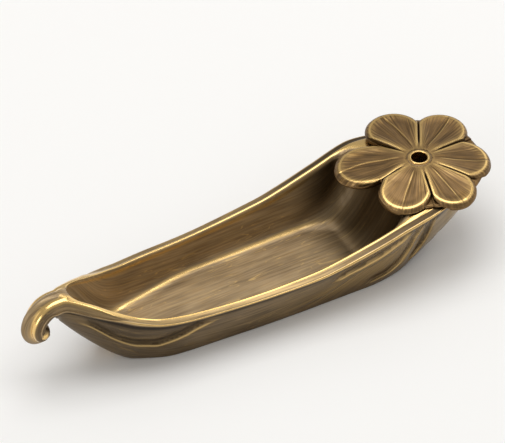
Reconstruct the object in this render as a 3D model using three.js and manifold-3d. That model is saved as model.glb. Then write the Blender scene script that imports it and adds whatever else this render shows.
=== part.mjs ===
// Boat-shaped brass holder for incense sticks: an ash tray with a scrolled bow and a flower over the stern.
// Millimetres. X runs from the bow (-) to the stern (+), Y to port and Z up from the table.
import * as THREE from 'three';
import { mergeVertices } from 'three/addons/utils/BufferGeometryUtils.js';
import Module from 'manifold-3d';

const wasm = await Module();
wasm.setup();

// Hull. The well is the open tray, the deck is the level stern that carries the flower.
const deckHeight = 23.8;
const deckRadius = 17.6;
const sternLength = 17;
const flowerX = 54.2;
const sternBeam = 40.8;
const midBeam = 34;
const lowestRim = 15;
const bowX = -59;
const bowBeam = 8.8;
const bowRim = 27;
const baseWidth = 25;
const baseFrontX = -42;
const baseBackX = 41;
const sternKeelHeight = 15;
const bowKeelHeight = 19;

// The rim is a flange: its inner edge is the highest line of the hull and its top slopes outwards from there.
// The side starts under the lip, narrower by the flare, and opens out to it near the top.
const rimWidth = 1.95;
const sternRimWidth = 2.4;
const rimDrop = 0.45;
const sternRimDrop = 0.9;
const strapDrop = 3.3;
const lipHeight = 0.85;
const undercut = 0.6;
const flare = 2.2;
const sternFlare = 3.7;
const flareDrop = 1.5;

const wellFloorHeight = 4;
const wellInset = 0.35;
const wellFloorWidth = 25.6;
const wellFloorSpread = 0.9;
const wellBowFoot = 0.84; // share of the width at the top; the wall leans more where the carved side comes close
const wellSideFoot = 0.93;
const wellBowX = -58.3;
const wellBowRound = 4;
const wellSternX = 44.5;
const wellSternRound = 13;
const wellBowRise = 24;

// The floor sweeps up into the stern from here, steeper and steeper: rampRise is its rise per square millimetre.
const rampX = 30;
const rampRise = 0.085;

// Scroll: the bow strap curls forward, down and under, and ends in a bead.
const strapWidth = 7.2;
const strapThickness = 4.6;
const strapCrown = 1.3;
const scrollCrown = 2.2;
const scrollTipThickness = 3;
const beadRadius = 2.5;
const beadWidth = 6.9;

// Leaf strands in relief on the outside of the hull.
const strandWidth = 1.7;
const strandProud = 0.6;

// Each strand is a run of distances from its end of the boat and shares of the way up to the band.
const strands = [
  { from: bowX, run: [[0.5, 0.67], [4, 0.74], [8.5, 0.69], [14.5, 0.65], [22.5, 0.64], [28, 0.73], [34, 0.85], [42, 0.94]] },
  { from: flowerX, run: [[-50, 0.44], [-43, 0.52], [-36, 0.67], [-30, 0.76], [-24, 0.79], [-18, 0.81], [-14, 0.86], [-12, 0.95]] },
  { from: flowerX, run: [[-27, 0.3], [-20, 0.38], [-15, 0.47], [-12, 0.66], [-10, 0.88], [-9, 0.98]] },
  { from: flowerX, run: [[-12, 0.36], [-8, 0.45], [-6, 0.62], [-5.6, 0.86], [-5.2, 0.98]] },
];

// Flower. Each petal: its direction in degrees and that of the groove after it, its reach from the stick hole,
// the radius of its round end and how far its tip droops. The web joins the petals, one step lower, except where
// they hang over the well.
const petalThickness = 2.2;
const petalGrooveDepth = 0.9;
const petals = [
  { turn: -26, groove: 4.7, reach: 20.2, endRadius: 8, droop: 1.9 },
  { turn: 33.5, groove: 60, reach: 21.7, endRadius: 7.5, droop: 1.1 },
  { turn: 90, groove: 118.1, reach: 22.1, endRadius: 8, droop: 1.1 },
  { turn: 154, groove: 187.3, reach: 23.7, endRadius: 8.1, droop: 2.6 },
  { turn: 222.5, groove: 253.2, reach: 21, endRadius: 7.5, droop: 1.9 },
  { turn: 279, groove: 305.5, reach: 21.1, endRadius: 7, droop: 2.1 },
];
const webRadius = 18.3;
const webStep = 0.6;
const innerWebRadius = 13.3;
const innerWebTurns = [100, 240];
const midribHeight = 0.25;
const hubHeight = 3.4;
const hubRadius = 6.2;
const pegDiameter = 3;
const pegLength = 5;
const pegCircle = 17;

// Stick socket.
const stickHole = 4.6;
const socketWall = 0.8;
const socketFlange = 7.2;
const socketFlangeThickness = 0.8;
const socketDepth = 12;

const clearance = 0.3;

// Facets along each side of a hull section.
const sideSteps = 9;

const brass = new THREE.MeshStandardMaterial({ color: 0x7a6544, roughness: 0.42, metalness: 1 });
const flowerBrass = new THREE.MeshStandardMaterial({ color: 0x86704a, roughness: 0.4, metalness: 1 });
const polishedBrass = new THREE.MeshStandardMaterial({ color: 0xc79a4b, roughness: 0.3, metalness: 1 });

const { lerp, smoothstep, degToRad, euclideanModulo } = THREE.MathUtils;
const fullTurn = 360;

function solidOf(geometry) {
  geometry.deleteAttribute('normal');
  geometry.deleteAttribute('uv');
  const merged = mergeVertices(geometry, 1e-4);
  const vertProperties = Float32Array.from(merged.attributes.position.array);
  const triVerts = Uint32Array.from(merged.index.array);
  return new wasm.Manifold(new wasm.Mesh({ numProp: 3, vertProperties, triVerts }));
}

function meshOf(name, solid, material) {
  const { vertProperties, triVerts } = solid.getMesh();
  const geometry = new THREE.BufferGeometry();
  geometry.setAttribute('position', new THREE.BufferAttribute(vertProperties, 3));
  geometry.setIndex(new THREE.BufferAttribute(triVerts, 1));
  const mesh = new THREE.Mesh(geometry, material);
  mesh.name = name;
  return mesh;
}

// Skins a row of closed rings, each with as many points. The row closes on itself, or ends in two fans.
function loft(rings, closed = false) {
  const count = rings[0].length;
  const points = rings.flat();
  const faces = [];
  const spans = closed ? rings.length : rings.length - 1;
  for (let i = 0; i < spans; i++) {
    const next = ((i + 1) % rings.length) * count;
    for (let j = 0; j < count; j++) {
      const k = (j + 1) % count;
      faces.push(i * count + k, i * count + j, next + k, i * count + j, next + j, next + k);
    }
  }
  const ends = closed ? [] : [[rings[0], true], [rings.at(-1), false]];
  for (const [ring, first] of ends) {
    const start = first ? 0 : (rings.length - 1) * count;
    const middle = ring.reduce((sum, p) => sum.add(p), new THREE.Vector3()).divideScalar(count);
    points.push(middle);
    for (let j = 0; j < count; j++) {
      const a = start + j;
      const b = start + (j + 1) % count;
      faces.push(...(first ? [a, b, points.length - 1] : [b, a, points.length - 1]));
    }
  }
  const geometry = new THREE.BufferGeometry().setFromPoints(points);
  geometry.setIndex(faces);
  return geometry;
}

// A smooth curve of one value along X, through a few chosen stations.
function fair(stations) {
  const curve = new THREE.SplineCurve(stations.map(([x, value]) => new THREE.Vector2(x, value)));
  const dense = curve.getPoints(stations.length * 12);
  return (x) => {
    const next = dense.findIndex((p) => p.x >= x);
    if (next < 0) return dense.at(-1).y;
    if (next === 0) return dense[0].y;
    const [a, b] = [dense[next - 1], dense[next]];
    return lerp(a.y, b.y, (x - a.x) / (b.x - a.x));
  };
}

const sternX = flowerX + sternLength;
const bowSpread = (share) => lerp(bowBeam / 2, midBeam / 2, share);
const planLine = fair([
  [bowX - 2, strapWidth / 2], [bowX, bowBeam / 2], [bowX + 7.5, bowSpread(0.31)], [bowX + 14.5, bowSpread(0.6)],
  [bowX + 22, bowSpread(0.79)], [bowX + 31, bowSpread(0.91)], [bowX + 46, midBeam / 2],
  [bowX + 70, lerp(midBeam, sternBeam, 0.58) / 2], [flowerX - 18, sternBeam / 2], [flowerX - 9, sternBeam / 2 - 0.4],
  [flowerX, deckRadius],
]);
const bowRise = (share) => lerp(lowestRim, bowRim, share);
const sternRise = (share) => lerp(lowestRim, deckHeight, share);
const sheerLine = fair([
  [bowX - 2, bowRim + 0.3], [bowX, bowRim + 0.1], [bowX + 5.5, bowRise(0.81)], [bowX + 11.5, bowRise(0.53)],
  [bowX + 18, bowRise(0.28)], [bowX + 27, bowRise(0.1)], [bowX + 48, lowestRim], [bowX + 68, sternRise(0.1)],
  [flowerX - 36, sternRise(0.27)], [flowerX - 24, sternRise(0.62)], [flowerX - 12, deckHeight],
]);
const rimWidthLine = fair([
  [bowX - 2, 0.5], [bowX + 7.5, 1.8], [bowX + 14.5, sternRimWidth], [bowX + 31, 2.1], [-10, rimWidth],
  [20, sternRimWidth], [flowerX - 9, sternRimWidth], [flowerX, 1.2],
]);
const rimDropLine = fair([
  [bowX - 2, strapDrop], [bowX + 4, strapDrop], [bowX + 7.5, 2.7], [bowX + 14.5, 1.2], [bowX + 31, rimDrop],
  [0, rimDrop], [20, sternRimDrop], [flowerX - 9, sternRimDrop], [flowerX, 0.3],
]);

function halfBeamAt(x) {
  if (x <= flowerX) return planLine(x);
  return deckRadius * Math.sqrt(Math.max(1 - ((x - flowerX) / sternLength) ** 2, 0.0002));
}

function rimHeightAt(x) {
  return x > flowerX - 12 ? deckHeight : sheerLine(x);
}

// How far the foot of the lip stands out from the side below it.
function flareAt(x, halfBeam) {
  const stern = smoothstep(x, bowX + 46, flowerX - 18);
  const end = 1 - smoothstep(x, flowerX - 9, flowerX + 2);
  const bow = smoothstep(x, bowX, bowX + 22);
  return Math.min(lerp(0.7, lerp(flare, sternFlare, stern), bow * lerp(0.1, 1, end)), halfBeam * 0.5);
}

function keelHeightAt(x) {
  if (x > baseBackX) return sternKeelHeight * ((x - baseBackX) / (sternX - baseBackX)) ** 1.7;
  if (x < baseFrontX) return bowKeelHeight * ((baseFrontX - x) / (baseFrontX - bowX + 2.5)) ** 1.5;
  return 0;
}

// One half of a hull section, from the keel up to the middle of its top: points of (y, height).
function halfSection({ halfBeam, height, keel, crown, flat, fullness, width, drop, lip, flared, sideTop }) {
  const sideY = halfBeam - flared;
  const footY = halfBeam - Math.min(undercut, flared);
  const foot = height - drop - lip;
  const [opened, lifted] = [footY - sideY, foot - sideTop];
  const side = new THREE.CubicBezierCurve(
    new THREE.Vector2(flat * sideY, keel),
    new THREE.Vector2(lerp(flat, 1, fullness) * sideY, keel),
    new THREE.Vector2(
      lerp(0.86, 1, fullness) * sideY - opened,
      lerp(keel, sideTop, lerp(0.55, 0.3, fullness)) - lifted,
    ),
    new THREE.Vector2(footY, foot),
  );
  const points = [new THREE.Vector2(0, keel), ...side.getPoints(sideSteps)];
  const ridge = halfBeam - width;
  points.push(new THREE.Vector2(halfBeam, height - drop - lip * 0.6));
  points.push(new THREE.Vector2(halfBeam - 0.1, height - drop));
  points.push(new THREE.Vector2(halfBeam - width * 0.5, height - drop * 0.35));
  for (let k = 0; k <= 3; k++) {
    const y = ridge * (1 - k / 3);
    points.push(new THREE.Vector2(y, height + crown * (1 - (y / ridge) ** 2)));
  }
  return points;
}

function mirrored(half) {
  const back = half.slice(1, -1).reverse().map((p) => new THREE.Vector2(-p.x, p.y));
  return [...half, ...back];
}

// Hull stations stand upright and are spaced closer where the outline turns.
function hullSection(x, grow) {
  const base = smoothstep(x, bowX, baseFrontX + 12) * (1 - smoothstep(x, baseBackX - 12, sternX));
  const halfBeam = halfBeamAt(x) + grow;
  const flared = flareAt(x, halfBeam);
  const drop = rimDropLine(x);
  const half = halfSection({
    halfBeam,
    height: rimHeightAt(x) + grow,
    keel: keelHeightAt(x) - grow,
    crown: strapCrown * (1 - smoothstep(x, bowX - 2, bowX + 12)),
    flat: Math.min(lerp(0.15, baseWidth / (midBeam - 2 * flare), base), 0.9),
    fullness: lerp(0.25, 0.62, base),
    width: Math.min(rimWidthLine(x), halfBeam * 0.5),
    drop,
    lip: lipHeight,
    flared,
    sideTop: rimHeightAt(x) - drop - lipHeight - flareDrop * smoothstep(flared, 0.7, flare),
  });
  return mirrored(half).map((p) => new THREE.Vector3(x, p.x, p.y));
}

function scrollSections() {
  const line = new THREE.CatmullRomCurve3([
    [bowX - 2, bowRim + 0.3], [bowX - 5, bowRim + 0.1], [bowX - 8, bowRim - 1.4], [bowX - 10.3, bowRim - 4.2],
    [bowX - 11.3, bowRim - 7.6], [bowX - 10.7, bowRim - 10.5], [bowX - 9.1, bowRim - 12.3],
    [bowX - 7, bowRim - 12.5], [bowX - 5.8, bowRim - 11.3],
  ].map(([x, z]) => new THREE.Vector3(x, 0, z)));
  const steps = 18;
  const sections = [];
  for (let k = 1; k <= steps; k++) {
    const t = k / steps;
    const edge = line.getPointAt(t);
    const along = line.getTangentAt(t);
    const outward = new THREE.Vector3(-along.z, 0, along.x).negate();
    const entry = 1 - smoothstep(t, 0, 0.3);
    const thickness = lerp(lerp(strapThickness, scrollTipThickness, t), bowRim - bowKeelHeight, entry ** 2);
    const half = halfSection({
      halfBeam: (strapWidth / 2) * lerp(1, 0.8, smoothstep(t, 0.6, 1)),
      height: 0,
      keel: -thickness,
      crown: lerp(strapCrown, scrollCrown, smoothstep(t, 0, 0.5)),
      flat: lerp(0.75, 0.15, entry),
      fullness: lerp(0.9, 0.25, entry),
      width: 0.5,
      drop: lerp(thickness * 0.6, strapDrop, entry),
      lip: lipHeight * lerp(0.5, 1, entry),
      flared: lerp(0.3, 0.7, entry),
      sideTop: -lerp(thickness * 0.8, strapDrop + lipHeight, entry),
    });
    sections.push(mirrored(half).map((p) => edge.clone().addScaledVector(outward, p.y).setY(p.x)));
  }
  return sections;
}

function hullBody(grow) {
  const sections = [];
  const sternSteps = 9;
  for (let k = 0; k < sternSteps; k++) {
    const turn = (k / sternSteps) * (Math.PI / 2);
    sections.push(hullSection(flowerX + deckRadius * Math.cos(turn) * 0.999, grow));
  }
  const bodySteps = 30;
  for (let k = 0; k <= bodySteps; k++) sections.push(hullSection(lerp(flowerX, bowX - 2, k / bodySteps), grow));
  return solidOf(loft([...sections, ...scrollSections()]));
}

// The well is cut from above; its floor rises into the bow and sweeps up to the stern, and its ends are round in plan.
function wellCutter(shrink) {
  const steps = 34;
  const sections = [];
  for (let k = 0; k <= steps; k++) {
    const x = lerp(wellSternX - shrink, wellBowX + shrink, (1 - Math.cos((k / steps) * Math.PI)) / 2);
    const sternTurn = Math.max((x - (wellSternX - wellSternRound)) / wellSternRound, 0);
    const bowTurn = Math.max((wellBowX + wellBowRound - x) / wellBowRound, 0);
    const close = Math.sqrt(Math.max(1 - sternTurn ** 2.6, 0)) * Math.sqrt(Math.max(1 - bowTurn ** 2.2, 0));
    const rim = rimHeightAt(x);
    const rise = 1 - smoothstep(x, wellBowX, wellBowX + wellBowRise);
    const ramp = rampRise * Math.max(x - rampX, 0) ** 2;
    const floor = Math.min(lerp(wellFloorHeight + shrink, rim - 3, rise ** 1.6) + ramp, rim - 0.8);
    const topY = Math.max((halfBeamAt(x) - rimWidthLine(x) - wellInset - shrink) * close, 0.05);
    const foot = lerp(wellBowFoot, wellSideFoot, smoothstep(x, bowX + 26, bowX + 44));
    const creaseY = Math.min(topY * foot, (wellFloorWidth / 2 + wellFloorSpread) * close);
    const wall = new THREE.CubicBezierCurve(
      new THREE.Vector2(creaseY * 0.85, floor),
      new THREE.Vector2(creaseY, floor),
      new THREE.Vector2(creaseY, floor + 0.3),
      new THREE.Vector2(lerp(creaseY, topY, 0.35), lerp(floor, rim, 0.3)),
    );
    const half = [new THREE.Vector2(0, floor), ...wall.getPoints(5)];
    half.push(new THREE.Vector2(lerp(creaseY, topY, 0.75), lerp(floor, rim, 0.65)));
    half.push(new THREE.Vector2(topY, rim - 0.4), new THREE.Vector2(topY + 0.15, rim + 4));
    half.push(new THREE.Vector2(0, rim + 4));
    sections.push(mirrored(half).map((p) => new THREE.Vector3(x, p.x, p.y)));
  }
  return solidOf(loft(sections));
}

function roundPin(diameter, bottom, top, x, y) {
  const geometry = new THREE.CylinderGeometry(diameter / 2, diameter / 2, top - bottom, 24);
  geometry.rotateX(Math.PI / 2).translate(x, y, (top + bottom) / 2);
  return solidOf(geometry);
}

function sphereAt(radius, width, centre) {
  const geometry = new THREE.SphereGeometry(radius, 20, 12);
  geometry.scale(1, width / (2 * radius), 1).translate(centre.x, centre.y, centre.z);
  return solidOf(geometry);
}

// The point on the side of the hull at a share of the way from the keel up to the foot of the band.
function sidePoint(x, share, side) {
  const section = hullSection(x, 0);
  const place = 1 + share * sideSteps;
  const index = Math.floor(place);
  const point = section[index].clone().lerp(section[Math.min(index + 1, sideSteps + 1)], place - index);
  return point.setY(point.y * side);
}

// A ridge of six-sided sections along the side, thin at both ends.
function strandSolid({ from, run }, side) {
  const path = new THREE.CatmullRomCurve3(run.map(([away, share]) => sidePoint(from + away, share, side)));
  const steps = 18;
  const rings = [];
  for (let k = 0; k <= steps; k++) {
    const t = k / steps;
    const [away, share] = [0, 1].map((axis) => {
      const scaled = t * (run.length - 1);
      const i = Math.min(Math.floor(scaled), run.length - 2);
      return lerp(run[i][axis], run[i + 1][axis], scaled - i);
    });
    const x = from + away;
    const centre = sidePoint(x, share, side);
    const along = path.getTangent(t);
    const up = sidePoint(x, Math.min(share + 0.08, 1), side).sub(sidePoint(x, share - 0.08, side)).normalize();
    const out = new THREE.Vector3().crossVectors(along, up).normalize();
    if (out.y * side < 0) out.negate();
    const taper = Math.sin(Math.PI * lerp(0.06, 0.94, t)) ** 0.5;
    const ring = [];
    for (let j = 0; j < 6; j++) {
      const turn = (j / 6) * Math.PI * 2 * side;
      const across = Math.cos(turn) * (strandWidth / 2) * taper;
      ring.push(centre.clone().addScaledVector(up, across).addScaledVector(out, Math.sin(turn) * strandProud * taper));
    }
    rings.push(ring);
  }
  return solidOf(loft(rings));
}

function buildHull() {
  const beadCentre = new THREE.Vector3(bowX - 7.7, 0, bowRim - 10.1);
  let hull = hullBody(0).add(sphereAt(beadRadius, beadWidth, beadCentre));
  for (const strand of strands) for (const side of [1, -1]) hull = hull.add(strandSolid(strand, side));
  hull = hull.subtract(wellCutter(0));
  for (const peg of pegPlaces()) {
    const depth = deckHeight - pegLength - clearance;
    hull = hull.subtract(roundPin(pegDiameter + 2 * clearance, depth, deckHeight + 1, peg.x, peg.y));
  }
  const bore = stickHole + 2 * (socketWall + clearance);
  return hull.subtract(roundPin(bore, deckHeight - socketDepth - clearance, deckHeight + 1, flowerX, 0));
}

function pegPlaces() {
  return [60, -60].map((angle) => new THREE.Vector2(
    flowerX + (pegCircle / 2) * Math.cos(degToRad(angle)),
    (pegCircle / 2) * Math.sin(degToRad(angle)),
  ));
}

// The outline of the petals at an angle, and that of the web that shows in the notches between them.
function petalEdge(angle) {
  return petals.reduce((edge, petal) => {
    const endCentre = petal.reach - petal.endRadius;
    const side = endCentre * Math.sin(degToRad(angle - petal.turn));
    const end = endCentre * Math.cos(degToRad(angle - petal.turn));
    const inside = petal.endRadius ** 2 - side ** 2;
    return end > 0 && inside > 0 ? Math.max(edge, end + Math.sqrt(inside)) : edge;
  }, innerWebRadius);
}

function webEdge(angle) {
  const overWell = angle > innerWebTurns[0] && angle < innerWebTurns[1];
  return overWell ? innerWebRadius : webRadius;
}

// The flower is lofted round its axis from spokes: each spoke is a closed profile of (radius, height).
function flowerSpoke(petal, angle, share) {
  const top = deckHeight + hubHeight;
  const seat = top - socketFlangeThickness - clearance;
  const underside = deckHeight + clearance;
  const bore = stickHole / 2 + socketWall + clearance;
  const recess = socketFlange / 2 + clearance;
  const brink = petalEdge(angle);
  const edge = Math.max(brink, webEdge(angle));
  const surface = (r) => {
    const out = r / petal.reach;
    const swell = Math.sin(Math.PI * Math.min(out, 1));
    const groove = Math.abs(share) > 0.95 ? petalGrooveDepth * smoothstep(r, hubRadius, hubRadius + 4) : 0;
    const rib = Math.abs(share) < 0.02 ? midribHeight * swell : 0;
    return top - petal.droop * out ** 2 - groove - webStep * smoothstep(r, brink, brink + 0.3) + rib;
  };
  const profile = [[bore, underside], [bore, seat], [recess, seat], [recess, surface(recess)]];
  for (const place of [0.16, 0.36, 0.56, 0.78]) {
    const r = lerp(recess, brink, place);
    profile.push([r, surface(r)]);
  }
  const brow = Math.min(brink, edge - 0.9);
  profile.push([brow, surface(brow)]);
  const rim = surface(edge);
  profile.push([edge - 0.4, rim - 0.1], [edge, rim - 0.6]);
  const lip = deckRadius + 2 * clearance;
  const overhangs = edge > lip + 1.2;
  const foot = overhangs ? rim - petalThickness : Math.min(underside + 0.2, rim - 0.8);
  profile.push([edge - 0.1, foot + 0.2], [edge - 0.5, overhangs ? foot : underside]);
  profile.push(overhangs ? [lip + 0.1, foot] : [edge - 0.7, underside]);
  profile.push([Math.min(lip, edge - 0.9), underside]);
  const direction = new THREE.Vector3(Math.cos(degToRad(angle)), Math.sin(degToRad(angle)), 0);
  return profile.map(([r, z]) => direction.clone().multiplyScalar(r).setZ(z));
}

function petalsSolid() {
  const spokes = [];
  petals.forEach((petal, i) => {
    const back = euclideanModulo(petal.turn - petals.at(i - 1).groove, fullTurn);
    const ahead = euclideanModulo(petal.groove - petal.turn, fullTurn);
    for (const share of [-1, -0.86, -0.6, -0.3, -0.05, 0, 0.05, 0.3, 0.6, 0.86]) {
      const angle = petal.turn + share * (share < 0 ? back : ahead);
      spokes.push(flowerSpoke(petal, angle, share));
    }
  });
  return solidOf(loft(spokes.reverse(), true));
}

function buildFlower(hullKeepOut) {
  let flower = petalsSolid().translate([flowerX, 0, 0]).subtract(hullKeepOut);
  for (const peg of pegPlaces()) {
    flower = flower.add(roundPin(pegDiameter, deckHeight - pegLength, deckHeight + 1, peg.x, peg.y));
  }
  return flower;
}

function buildSocket() {
  const top = deckHeight + hubHeight + 0.3;
  const bottom = deckHeight - socketDepth;
  const inner = stickHole / 2;
  const tube = inner + socketWall;
  const flange = socketFlange / 2;
  const profile = [
    [inner, bottom], [tube, bottom], [tube, top - socketFlangeThickness - 0.3], [flange, top - socketFlangeThickness - 0.3],
    [flange, top - 0.4], [lerp(inner, flange, 0.45), top - 0.1], [lerp(inner, flange, 0.2), top], [inner, top - 0.25],
    [inner, bottom],
  ].map(([r, z]) => new THREE.Vector2(r, z));
  const geometry = new THREE.LatheGeometry(profile, 36);
  geometry.rotateX(Math.PI / 2).translate(flowerX, 0, 0);
  return solidOf(geometry);
}

const keepOut = hullBody(clearance).subtract(wellCutter(clearance));
const pieces = [
  meshOf('hull', buildHull(), brass),
  meshOf('flower', buildFlower(keepOut), flowerBrass),
  meshOf('stick_socket', buildSocket(), polishedBrass),
];

// The origin lies on the table, on the centreline under the middle of the tray.
const boat = new THREE.Group();
boat.add(...pieces);

export default boat;
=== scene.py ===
import math
import bpy
import mathutils
import numpy as np
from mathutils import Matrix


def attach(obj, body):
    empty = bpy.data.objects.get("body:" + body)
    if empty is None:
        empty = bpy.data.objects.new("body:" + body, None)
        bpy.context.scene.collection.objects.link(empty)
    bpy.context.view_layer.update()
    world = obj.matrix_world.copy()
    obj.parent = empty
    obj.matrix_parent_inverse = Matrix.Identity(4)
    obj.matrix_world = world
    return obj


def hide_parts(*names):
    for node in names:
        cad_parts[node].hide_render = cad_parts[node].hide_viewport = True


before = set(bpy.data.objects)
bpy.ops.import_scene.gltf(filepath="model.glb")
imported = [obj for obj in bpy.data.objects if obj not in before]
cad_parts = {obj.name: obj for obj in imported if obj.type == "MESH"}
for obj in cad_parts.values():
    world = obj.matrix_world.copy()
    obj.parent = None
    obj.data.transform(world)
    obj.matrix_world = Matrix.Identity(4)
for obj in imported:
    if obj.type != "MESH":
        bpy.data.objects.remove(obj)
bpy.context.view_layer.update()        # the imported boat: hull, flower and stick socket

bpy.ops.object.select_all(action="DESELECT")
mm = 0.001               # shapes are worked out in millimetres and placed in metres
print("frame loaded")


# camera, floor and light, plain on purpose
view = {
    "azimuth": 29.5,              # degrees the camera stands to the bow side of square-on
    "elevation": 42.5,
    "distance": 1300.0,
    "lens": 333.6,
    "target": (0.0, -0.3, 27.4),
}

studio = {
    "floorColour": "#f8f7f5",
    "floorSize": 6000.0,
    "worldColour": "#fbfaf8",
    "worldStrength": 0.48,
    # each lamp: direction from the boat, distance, size, power in watts
    "lamps": {
        "softbox": ((0.06, 0.2, 0.98), 1600.0, 1200.0, 11.5),      # broad light overhead, soft shadows
        "lantern": ((0.61, -0.14, 0.78), 1400.0, 450.0, 1.9),      # for the ridge of the rim at the bow
        "window": ((-0.36, 0.2, 0.91), 1500.0, 400.0, 1.0),        # for the top of the scroll
        "side": ((0.85, 0.35, 0.42), 1300.0, 900.0, 1.6),          # fills the shadow beside the stern
        "strip": ((-0.95, -0.2, 0.22), 1500.0, 600.0, 4.0),        # for the ridge that runs down the scroll
    },
}


def hexColour(text):
    channels = [int(text[k:k + 2], 16) / 255 for k in (1, 3, 5)]
    linear = [c / 12.92 if c <= 0.04045 else ((c + 0.055) / 1.055) ** 2.4 for c in channels]
    return (*linear, 1.0)


def addNode(tree, kind, inputs, output=0, **settings):
    # one node; an input takes a value or the output of another node
    node = tree.nodes.new(kind)
    for name, value in settings.items():
        setattr(node, name, value)
    for name, value in inputs.items():
        if isinstance(value, bpy.types.NodeSocket):
            tree.links.new(value, node.inputs[name])
        else:
            node.inputs[name].default_value = value
    return node.outputs[output]


def placeCamera():
    azimuth, elevation = math.radians(view["azimuth"]), math.radians(view["elevation"])
    look = mathutils.Vector((
        math.sin(azimuth) * math.cos(elevation), math.cos(azimuth) * math.cos(elevation),
        -math.sin(elevation)))
    target = mathutils.Vector(view["target"]) * mm
    bpy.ops.object.camera_add(location=target - look * view["distance"] * mm)
    camera = bpy.context.object
    camera.rotation_euler = look.to_track_quat("-Z", "Y").to_euler()
    camera.data.lens = view["lens"]
    camera.data.clip_end = 20
    bpy.context.scene.camera = camera


def layFloor():
    bpy.ops.mesh.primitive_plane_add(size=studio["floorSize"] * mm)
    floor = bpy.context.object
    floor.name = "studio_floor"
    material = bpy.data.materials.new("matt paper sweep")      # even and matt: soft shadows, no gloss
    material.use_nodes = True
    shader = material.node_tree.nodes["Principled BSDF"]
    shader.inputs["Base Color"].default_value = hexColour(studio["floorColour"])
    shader.inputs["Roughness"].default_value = 0.95
    shader.inputs["Specular IOR Level"].default_value = 0.1
    floor.data.materials.append(material)


def hangLamps():
    world = bpy.data.worlds.new("soft white studio")
    world.use_nodes = True
    background = world.node_tree.nodes["Background"]
    background.inputs["Color"].default_value = hexColour(studio["worldColour"])
    background.inputs["Strength"].default_value = studio["worldStrength"]
    bpy.context.scene.world = world
    for name, (direction, distance, size, power) in studio["lamps"].items():
        towards = mathutils.Vector(direction).normalized()
        bpy.ops.object.light_add(type="AREA", location=towards * distance * mm)
        lamp = bpy.context.object
        lamp.name = name
        lamp.rotation_euler = towards.to_track_quat("Z", "Y").to_euler()
        lamp.data.size = size * mm
        lamp.data.energy = power
    bpy.context.scene.view_settings.view_transform = "Standard"


placeCamera()
layFloor()
hangLamps()
print("camera, floor and lamps placed")


# small helpers for shapes
def lerp(a, b, t):
    return a + (b - a) * t


def smoothStep(x, low, high):
    t = np.clip((x - low) / (high - low), 0.0, 1.0)
    return t * t * (3 - 2 * t)


def bell(distance, width):
    return np.exp(-(distance / width) ** 2)


def shares(count):
    return np.linspace(0, 1, count + 1)[1:]


def throughPoints(points, steps=24):
    # a smooth line through the points
    points = np.array(points, float)
    last = len(points) - 1
    dense = []
    for place in np.linspace(0, last, steps * last + 1):
        i = min(int(place), last - 1)
        t = place - i
        a, b, c, d = points[max(i - 1, 0)], points[i], points[i + 1], points[min(i + 2, last)]
        dense.append(0.5 * (2 * b + (c - a) * t + (2 * a - 5 * b + 4 * c - d) * t ** 2
                            + (3 * b - a - 3 * c + d) * t ** 3))
    return np.array(dense)


def fair(stations):
    # the value at any x of a smooth line through the stations
    dense = throughPoints(stations)
    return lambda x: float(np.interp(x, dense[:, 0], dense[:, 1]))


def bezier(corners, t):
    a, b, c, d = [np.array(corner, float) for corner in corners]
    t = np.asarray(t, float)[:, None]
    return (1 - t) ** 3 * a + 3 * (1 - t) ** 2 * t * b + 3 * (1 - t) * t ** 2 * c + t ** 3 * d


def gridPiece(name, places, marks):
    # a flat grid is added and its points are moved to their places, row by row
    rows, columns = places.shape[:2]
    bpy.ops.mesh.primitive_grid_add(x_subdivisions=columns - 1, y_subdivisions=rows - 1, size=1)
    piece = bpy.context.object
    piece.name = name
    mesh = piece.data
    flat = np.empty(len(mesh.vertices) * 3)
    mesh.vertices.foreach_get("co", flat)
    flat = flat.reshape(-1, 3)
    column = np.rint((flat[:, 0] + 0.5) * (columns - 1)).astype(int)
    row = np.rint((flat[:, 1] + 0.5) * (rows - 1)).astype(int)
    mesh.vertices.foreach_set("co", (places[row, column] * mm).ravel())
    for mark, values in marks.items():
        kind, field = ("FLOAT_VECTOR", "vector") if values.ndim == 3 else ("FLOAT", "value")
        attribute = mesh.attributes.new(mark, kind, "POINT")
        attribute.data.foreach_set(field, values[row, column].ravel())
    bpy.ops.object.mode_set(mode="EDIT")
    bpy.ops.mesh.select_all(action="SELECT")
    bpy.ops.mesh.remove_doubles(threshold=0.004 * mm)
    bpy.ops.mesh.normals_make_consistent(inside=False)
    bpy.ops.object.mode_set(mode="OBJECT")
    bpy.ops.object.shade_smooth_by_angle(angle=math.radians(50))
    return piece


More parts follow.
